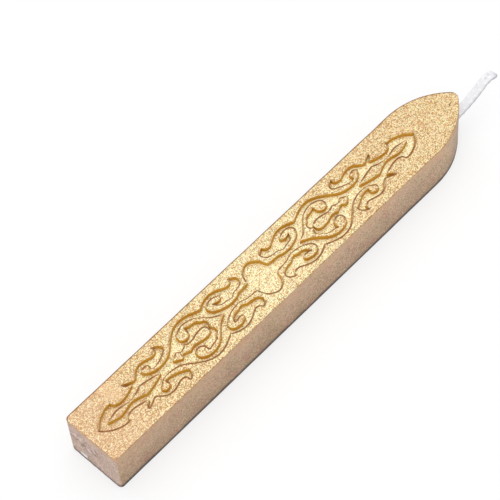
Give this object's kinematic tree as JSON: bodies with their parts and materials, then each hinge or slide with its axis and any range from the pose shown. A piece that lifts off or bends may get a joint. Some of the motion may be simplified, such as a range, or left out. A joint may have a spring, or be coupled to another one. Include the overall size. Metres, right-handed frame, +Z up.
{
  "type": "sealing wax stick",
  "caption": "Gold pearl sealing wax stick with a square butt, a pointed nose, a sunk scroll ornament and a primed flat wick, burnt to drip wax for letter seals.",
  "frame": {"origin": "middle of the flat base that the stick lies on", "axes": "+X along the stick towards the nose and the wick, +Z up out of the ornamented face, +Y across to the left when looking along +X"},
  "size_m": [0.1006, 0.0116, 0.01],
  "materials": {
    "gold_wax": "satin pearl wax with fine gold mica",
    "primer_wax": "thin white candle wax",
    "cotton": "bleached cotton strand"
  },
  "bodies": {
    "root": {"wax_bar": "gold_wax", "wick_primer_coat": "primer_wax", "wick_strand_1": "cotton", "wick_strand_2": "cotton", "wick_strand_3": "cotton"}
  },
  "joints": []
}
